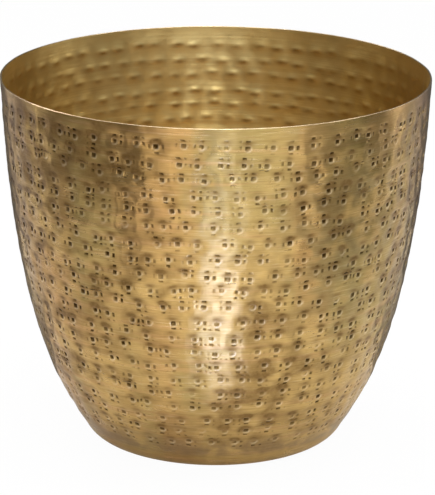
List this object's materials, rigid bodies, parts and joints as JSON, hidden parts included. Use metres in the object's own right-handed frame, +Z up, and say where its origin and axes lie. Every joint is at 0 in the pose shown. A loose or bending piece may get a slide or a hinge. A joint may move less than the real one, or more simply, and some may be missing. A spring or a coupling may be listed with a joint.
{
  "type": "flower pot",
  "caption": "Round hammered sheet-brass flower pot, open at the top, tapering to a small flat base on soft foot pads.",
  "frame": {"origin": "middle of the pot's footprint, on the surface that it stands on", "axes": "+Z up along the pot's axis of turning, +X and +Y alike; the picture looks along +Y"},
  "size_m": [0.254, 0.254, 0.222],
  "materials": {
    "aged_brass": "hammered, finely brushed, unevenly darkened",
    "pad_rubber": "matt"
  },
  "bodies": {
    "root": {"pot_shell": "aged_brass", "foot_pad_1": "pad_rubber", "foot_pad_2": "pad_rubber", "foot_pad_3": "pad_rubber", "foot_pad_4": "pad_rubber"}
  },
  "joints": []
}
